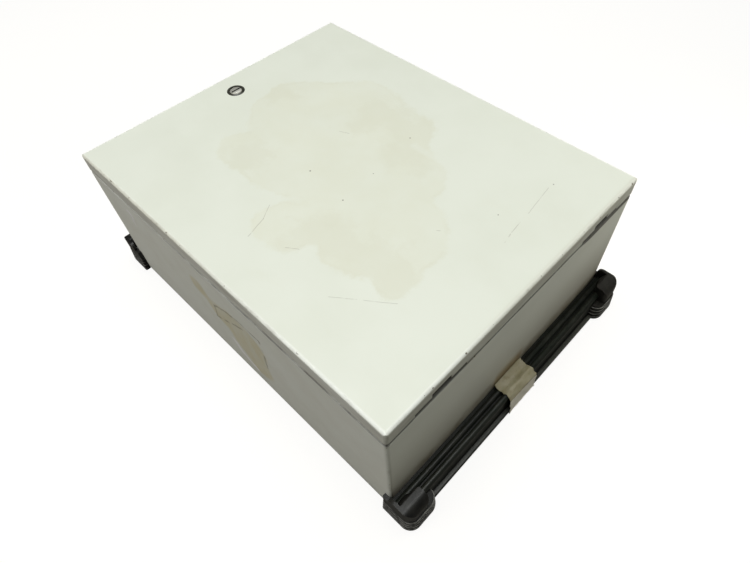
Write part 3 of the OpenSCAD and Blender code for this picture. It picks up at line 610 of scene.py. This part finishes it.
def plated(name, tone, spangle, roughness):
    """Zinc-plated steel with faint crystals and rolling marks."""
    g = Graph(name)
    cells = g.add("ShaderNodeTexVoronoi", {"Vector": g.place, "Scale": 1 / spangle}).outputs["Color"]
    shade = g.split(cells)["X"]
    dull = tuple(0.72 * part for part in tone[:3]) + (1,)
    colour = g.tint(tone, dull, shade, strength=0.5)
    colour = g.tint(colour, TARNISH, g.patchy(6 * spangle, 0.5, 0.8, detail=5), strength=0.25)
    rough = g.between(shade, roughness, roughness + 0.12)
    rolled = g.noise(0.4 * MM, detail=2, stretch=(12, 1, 1))
    return g.surface(colour, rough, g.bump(rolled, 0.02 * MM, strength=0.4), metallic=0.9)


def foamed(name):
    """Dark closed-cell foam."""
    g = Graph(name)
    cells = g.noise(1.1 * MM, detail=3)
    colour = g.blend(g.step(cells, 0.3, 0.7), FOAM_DARK, FOAM_PALE)
    return g.surface(colour, 0.92, g.bump(cells, 0.15 * MM, strength=0.8))


# Radius of the lock core and width of its key slot, as in the source
CORE_R = 7.5 * MM
SLOT_W = 1.6 * MM
# Distance between the rings that turning left on the core's face
TURNED_RING = 0.45 * MM
# How far the painted highlight round the core is off the lock's centre
HIGHLIGHT_OFF = Vector((1.8 * MM, -1.0 * MM, 0))


def axis_distance(g, centre):
    """Distance to the upright axis through centre."""
    away = g.vector("SUBTRACT", g.place, (centre.x, centre.y, 0))
    return g.vector("LENGTH", g.vector("MULTIPLY", away, DOOR_PLANE))


def lock_ring(name):
    """Dark bezel, greyed by keys and dirt, with a painted highlight beside the core on the near side."""
    g = Graph(name)
    worn = g.patchy(2.5 * MM, 0.4, 0.75, detail=4)
    colour = g.blend(worn, RING_DARK, RING_WORN)
    above = g.step(g.split(g.place)["Z"], door_high.z + 0.3 * MM, door_high.z + 0.8 * MM)
    # Painted highlight: a crescent of the bezel beside the core, on the near side
    beside = g.step(axis_distance(g, lock_centre + HIGHLIGHT_OFF), CORE_R + 0.2 * MM, CORE_R - 0.4 * MM)
    colour = g.tint(colour, RING_HIGHLIGHT, beside, above, strength=0.8)
    normal = g.bump(g.noise(0.5 * MM), 0.02 * MM, strength=0.5)
    return g.surface(colour, g.between(worn, 0.32, 0.57), normal, specular_ior_level=0.6)


def lock_face(name):
    """Die-cast core, turned in rings, near white as a painted highlight, greyer on its -X half as painted
    shade, and dark in the slot with painted shade and dirt.
    """
    g = Graph(name)
    rings = g.math("SINE", g.math("MULTIPLY", axis_distance(g, lock_centre), 2 * math.pi / TURNED_RING))
    dirt = g.patchy(2 * MM, 0.4, 0.75, detail=4)
    colour = g.tint(CORE_TONE_AND_HIGHLIGHT, CORE_DIRTY, dirt, strength=0.35)
    x, _, z = g.split(g.place)
    aside = g.math("SUBTRACT", x, lock_centre.x)
    # Painted shade on the core's -X half; the bright half is a painted highlight
    colour = g.tint(colour, CORE_SHADE, g.step(aside, 5.5 * MM, 0.5 * MM), strength=0.6)
    # Painted shade in the key slot, with dirt along its edges
    sunk = g.step(z, door_high.z + 0.2 * MM, door_high.z - 0.6 * MM)
    slot = g.step(g.math("ABSOLUTE", aside), SLOT_W / 2 + 0.5 * MM, SLOT_W / 2 + 0.1 * MM)
    dark = g.math("MAXIMUM", sunk, slot)
    colour = g.tint(colour, SLOT_SHADE_AND_DIRT, dark, strength=0.97)
    normal = g.bump(rings, 0.01 * MM, strength=0.5)
    return g.surface(colour, g.between(dirt, 0.34, 0.54), normal, metallic=g.between(dark, 0.35, 0.0))


# Heights between which a painted reflection turns the tape pale on its outer fold
TAPE_FOLD = (30 * MM, 27 * MM)


def tape_film(name):
    """Tan adhesive tape: cloudy glue, fine wrinkles and dark specks, and a painted reflection that turns it
    pale on its outer fold.
    """
    g = Graph(name)
    cloudy = g.noise(12 * MM, detail=5, stretch=(1, 1.8, 1))
    colour = g.blend(g.step(cloudy, 0.3, 0.7), TAPE_TAN, TAPE_CLOUDY)
    creases = g.noise(3.2 * MM, detail=4, stretch=(1, 3, 1))
    colour = g.tint(colour, TAPE_CREASE, g.step(creases, 0.56, 0.68), strength=0.35)
    # Painted reflection that turns the outer fold pale
    colour = g.tint(colour, TAPE_REFLECTION, g.step(g.split(g.place)["Z"], *TAPE_FOLD), strength=0.95)
    colour = g.tint(colour, TAPE_SPECK, g.patchy(2.2 * MM, 0.69, 0.72), strength=0.6)
    normal = g.bump(creases, 0.3 * MM, strength=0.7)
    return g.surface(colour, g.between(cloudy, 0.28, 0.48), normal, coat_weight=0.15, coat_roughness=0.3)


def run_paint(name):
    """White paint of the run on the visible end."""
    g = Graph(name)
    colour = g.blend(g.patchy(3 * MM, 0.35, 0.7, detail=4), RUN_WHITE, RUN_DULL)
    return g.surface(colour, 0.3, g.bump(g.noise(0.8 * MM), 0.05 * MM, strength=0.4))


TAPE = tape_film("tan_tape")
BY_SLOT = {
    "rail": black_plastic("rail_plastic", RAIL_DARK, RAIL_PALE, dust=0.09, grain=0.7 * MM, gloss=0.3,
                          marks=rail_marks, along=(1, 14, 1)),
    "cap": black_plastic("cap_plastic", CAP_DARK, CAP_PALE, dust=0.07, grain=0.9 * MM, gloss=0.32,
                         marks=rib_marks),
    "zinc_sheet": plated("zinc_sheet", ZINC, spangle=9 * MM, roughness=0.36),
    "steel": plated("zinc_hardware", STEEL, spangle=1.5 * MM, roughness=0.3),
    "foam": foamed("seal_foam"),
    "tape": TAPE,
}
body_top = Vector((body_high.x, body_high.y, body_rim))
BY_NODE = {
    "door_panel": painted("door_paint", door_low, door_high, edge_highlight=0.9, marks=door_marks),
    "body_shell": painted("body_paint", body_low, body_top, edge_highlight=0.3, marks=body_marks),
    "gland_plate": painted("gland_paint", *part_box("gland_plate"), edge_highlight=0.3),
    "lock_housing": lock_ring("lock_ring"),
    "lock_core": lock_face("lock_face"),
}
# Hinge parts in the notches, darkened as painted shade
shaded_hinge = plated("shaded_hinge", HINGE_SHADE, spangle=2.5 * MM, roughness=0.5)
for piece in ("hinge_bracket_top", "hinge_bracket_bottom", "hinge_leaf_top", "hinge_leaf_bottom"):
    BY_NODE[piece] = shaded_hinge

slot_of = {part["node"]: part["material_slot"] for part in frame["record"]["subparts"]}
for name, node in frame["nodes"].items():
    material = BY_NODE.get(name) or BY_SLOT[slot_of[name]]
    node.data.materials.clear()
    node.data.materials.append(material)


def smooth_path(points, per_span):
    """Curve through points (Catmull-Rom), as a list of vectors."""
    padded = [points[0], *points, points[-1]]
    path = []
    for a, b, c, d in zip(padded, padded[1:], padded[2:], padded[3:]):
        for i in range(per_span):
            t = i / per_span
            path.append(0.5 * (2 * b + (c - a) * t + (2 * a - 5 * b + 4 * c - d) * t * t
                               + (3 * b - a - 3 * c + d) * t ** 3))
    return path + [points[-1]]


def tangent(path, i):
    """Direction of the path at its point i."""
    return (path[min(i + 1, len(path) - 1)] - path[max(i - 1, 0)]).normalized()


def smooth_piece(name, mesh, material):
    """New object of that name from the bmesh, with smooth faces and the material."""
    bmesh.ops.recalc_face_normals(mesh, faces=mesh.faces)
    data = bpy.data.meshes.new(name)
    mesh.to_mesh(data)
    mesh.free()
    for face in data.polygons:
        face.use_smooth = True
    data.materials.append(material)
    piece = bpy.data.objects.new(name, data)
    bpy.context.scene.collection.objects.link(piece)
    return piece


# Tape: rows across its width, steps between two points of its section, thickness
TAPE_ROWS, TAPE_STEPS, TAPE_T = 44, 8, 0.25 * MM
# How far the tape's outer fold lies inside the lip's edge, at its far and its near end
FOLD_FAR, FOLD_NEAR = 1.6 * MM, 3.2 * MM
# How far the tape stands out over the rail's edges
TAPE_OVER = 0.6 * MM
# Depth of the tears in its ends, height and length of its wrinkles, lift of its ends
TEAR, WRINKLE, WRINKLE_L, END_LIFT = 1.6 * MM, 0.55 * MM, 9 * MM, 0.5 * MM
# Steps in the noise from one point of the section to the next, for the tears and the wrinkles
TEAR_STEP, WRINKLE_STEP = 0.21, 0.11
# Least distance of the tape's inner face from the wall and from the floor
WALL_GAP, FLOOR_GAP = 0.3 * MM, 0.2 * MM


def tape_path(share):
    """Section of the tape from the wall over the rail to the lip's foot.

    Points are out from the wall and up; share is 0 at the tape's near end and 1 at its far end.
    """
    top = rail_high.z
    lip_w = rail_high.x - body_high.x
    turn = lip_w - FOLD_NEAR - share * (FOLD_FAR - FOLD_NEAR)
    section = [
        (0.5 * MM, tape_high.z - 0.5 * MM),
        (4.9 * MM, top - 0.6 * MM),
        (11.0 * MM, top - 1.4 * MM),
        (17.0 * MM, top + TAPE_OVER),
        (20.4 * MM, top - 0.2 * MM),
        (turn - 0.8 * MM, top - 4.4 * MM),
        (turn + 0.4 * MM, top - 7.4 * MM),
        (0.5 * (turn + lip_w), 0.52 * top),
        (lip_w, 5.2 * MM),
        (lip_w + TAPE_OVER, 2.6 * MM),
        (lip_w - 0.6 * MM, 0.1 * MM),
    ]
    return smooth_path([Vector(point) for point in section], TAPE_STEPS)


def tape_point(path, i, share):
    """Place of point i of the section at that share of the tape's width, torn and wrinkled."""
    run = tangent(path, i)
    out = Vector((-run.y, run.x))
    off_middle = abs(2 * share - 1)
    torn = TEAR * noise.noise(Vector((i * TEAR_STEP, 7.0 * (share > 0.5), 3.1)))
    y = tape_low.y + (tape_high.y - tape_low.y) * share + torn * off_middle
    fold = noise.fractal(Vector((i * WRINKLE_STEP, y / WRINKLE_L, 1.7)), 0.9, 2.1, 4)
    lift = max(0.0, WRINKLE * (fold + 0.3)) + END_LIFT * off_middle ** 6
    spot = path[i] + out * lift
    return (body_high.x + max(spot.x, WALL_GAP), y, max(spot.y, FLOOR_GAP))


def wrinkled_tape():
    """Strip of tape pulled over the rail: taut over the groove, slack and torn at its ends."""
    mesh = bmesh.new()
    shares = [j / TAPE_ROWS for j in range(TAPE_ROWS + 1)]
    paths = [tape_path(share) for share in shares]
    grid = []
    for i in range(len(paths[0])):
        grid.append([mesh.verts.new(tape_point(path, i, share)) for path, share in zip(paths, shares)])
    for left, right in zip(grid, grid[1:]):
        for j in range(TAPE_ROWS):
            mesh.faces.new((left[j], right[j], right[j + 1], left[j + 1]))
    tape = smooth_piece("tape", mesh, TAPE)
    thick = tape.modifiers.new("thickness", "SOLIDIFY")
    thick.thickness = TAPE_T
    thick.offset = 1.0
    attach(tape, "cabinet")
    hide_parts("tape_band")


# Paint run: its middle line, x and z on the visible end
PAINT_RUN = [
    (-0.182, 0.164), (-0.176, 0.165), (-0.172, 0.162), (-0.173, 0.155), (-0.178, 0.146), (-0.177, 0.138),
]
# Paint run: steps along and across it, half width and how much that swings, rise, and depth in the wall
RUN_STEPS, RUN_ACROSS = 6, 10
RUN_HALF, RUN_SWING, RUN_RISE, RUN_SUNK = 3.0 * MM, 1.0 * MM, 0.4 * MM, 0.1 * MM
# Share of the run's length at which its ends stop narrowing
RUN_END = 0.04


def paint_run():
    """Raised run of white paint down the visible end of the body."""
    path = smooth_path([Vector(point) for point in PAINT_RUN], RUN_STEPS)
    mesh = bmesh.new()
    rings = []
    for i, spot in enumerate(path):
        share = i / (len(path) - 1)
        run = tangent(path, i)
        swell = math.sin(math.pi * min(max(share, RUN_END), 1 - RUN_END)) ** 0.5
        half = (RUN_HALF + RUN_SWING * math.sin(7 * share)) * swell
        ring = []
        for k in range(RUN_ACROSS + 1):
            angle = math.pi * k / RUN_ACROSS
            side = half * math.cos(angle)
            y = body_low.y + RUN_SUNK - RUN_RISE * swell * math.sin(angle)
            ring.append(mesh.verts.new((spot.x - run.y * side, y, spot.y + run.x * side)))
        rings.append(ring)
    for first, second in zip(rings, rings[1:]):
        for k in range(RUN_ACROSS):
            mesh.faces.new((first[k], first[k + 1], second[k + 1], second[k]))
    for ring in (rings[0], rings[-1]):
        mesh.faces.new(ring)
    for first, second in zip(rings, rings[1:]):
        mesh.faces.new((first[0], second[0], second[-1], first[-1]))
    bead = smooth_piece("paint_run", mesh, run_paint("run_paint"))
    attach(bead, "cabinet")


wrinkled_tape()
paint_run()

# Floor: half its width, how far it lies below the cabinet, its colour, the glow that the camera sees on it
FLOOR_HALF, FLOOR_DROP = 20.0, 0.1 * MM
FLOOR_TONE = (0.2, 0.19, 0.165, 1)
FLOOR_GLOW = 0.86
# Strength of the white world, for light and as the camera sees it
WORLD_LIGHT, WORLD_SEEN = 0.07, 1.0
WHITE = (1, 1, 1, 1)


def white_floor():
    """Wide pale floor that shows white to the camera and keeps a soft shadow."""
    half = FLOOR_HALF
    corners = [(-half, -half, 0), (half, -half, 0), (half, half, 0), (-half, half, 0)]
    data = bpy.data.meshes.new("floor")
    data.from_pydata(corners, [], [(0, 1, 2, 3)])
    floor = bpy.data.objects.new("floor", data)
    floor.location.z = cad_low.z - FLOOR_DROP
    bpy.context.scene.collection.objects.link(floor)
    g = Graph("floor")
    rays = g.add("ShaderNodeLightPath").outputs
    seen = g.math("MAXIMUM", rays["Is Camera Ray"], rays["Is Transmission Ray"])
    matt = g.add("ShaderNodeBsdfDiffuse", {"Color": FLOOR_TONE})
    glow = g.add("ShaderNodeEmission", {"Color": WHITE, "Strength": g.product(seen, FLOOR_GLOW)})
    both = g.add("ShaderNodeAddShader", {0: matt.outputs[0], 1: glow.outputs[0]})
    g.put(g.tree.nodes["Material Output"].inputs["Surface"], both.outputs[0])
    data.materials.append(g.material)


def white_world():
    """White surroundings that the camera sees in full and that light the cabinet faintly."""
    world = bpy.data.worlds.new("studio")
    world.use_nodes = True
    tree = world.node_tree
    background = tree.nodes["Background"]
    background.inputs["Color"].default_value = WHITE
    rays = tree.nodes.new("ShaderNodeLightPath").outputs
    seen = tree.nodes.new("ShaderNodeMath")
    seen.operation = "MAXIMUM"
    tree.links.new(rays["Is Camera Ray"], seen.inputs[0])
    tree.links.new(rays["Is Transmission Ray"], seen.inputs[1])
    level = tree.nodes.new("ShaderNodeMapRange")
    level.inputs["To Min"].default_value = WORLD_LIGHT
    level.inputs["To Max"].default_value = WORLD_SEEN
    tree.links.new(seen.outputs[0], level.inputs["Value"])
    tree.links.new(level.outputs[0], background.inputs["Strength"])
    bpy.context.scene.world = world


def lamp(name, place, aim, size, power, colour, shine=True):
    """Square area lamp at place, turned to aim; shine says whether it shows in glossy surfaces."""
    data = bpy.data.lights.new(name, "AREA")
    data.shape = "SQUARE"
    data.size = size
    data.energy = power
    data.color = colour
    light = bpy.data.objects.new(name, data)
    light.location = place
    light.rotation_euler = (Vector(aim) - Vector(place)).to_track_quat("-Z", "Y").to_euler()
    light.visible_glossy = shine
    bpy.context.scene.collection.objects.link(light)


def photo_camera():
    """Camera fitted to the photograph's corners."""
    azimuth, elevation, roll = (math.radians(v) for v in (CAMERA_AZIMUTH, CAMERA_ELEVATION, CAMERA_ROLL))
    level = math.cos(elevation)
    back = Vector((level * math.cos(azimuth), level * math.sin(azimuth), math.sin(elevation)))
    right = Vector((0, 0, 1)).cross(back).normalized()
    up = back.cross(right)
    turned_right = math.cos(roll) * right + math.sin(roll) * up
    turned_up = -math.sin(roll) * right + math.cos(roll) * up
    data = bpy.data.cameras.new("camera")
    data.sensor_width = SENSOR_W
    data.sensor_fit = "HORIZONTAL"
    data.lens = FOCAL_PX * SENSOR_W / PHOTO_W
    data.shift_x = (PHOTO_W / 2 - CENTRE_PX[0]) / PHOTO_W
    data.shift_y = (CENTRE_PX[1] - PHOTO_H / 2) / PHOTO_W
    data.clip_start = CAMERA_NEAR
    camera = bpy.data.objects.new("camera", data)
    turn = Matrix((turned_right, turned_up, back)).transposed().to_4x4()
    camera.matrix_world = Matrix.Translation(CAMERA_TARGET + CAMERA_DISTANCE * back) @ turn
    bpy.context.scene.collection.objects.link(camera)
    bpy.context.scene.camera = camera


white_floor()
white_world()
lamp("overhead", place=(-0.08, -0.05, 2.2), aim=(0, 0, 0.1), size=1.5, power=39.3, colour=(0.98, 1.0, 0.98))
lamp("front_fill", place=(-0.9, -2.2, 0.9), aim=(0, 0, 0.1), size=1.2, power=15.2, colour=(1.0, 0.96, 1.0))
lamp("far_end_fill", place=(0.5, 0.55, 0.3), aim=(0.25, 0.15, 0.1), size=0.25, power=1.0,
     colour=(1.0, 0.97, 0.93), shine=False)
lamp("hinge_side_fill", place=(1.6, -0.1, 0.8), aim=(0.25, 0, 0.1), size=0.8, power=1.1,
     colour=(1.0, 0.98, 0.95), shine=False)
photo_camera()
bpy.context.scene.view_settings.view_transform = "Standard"
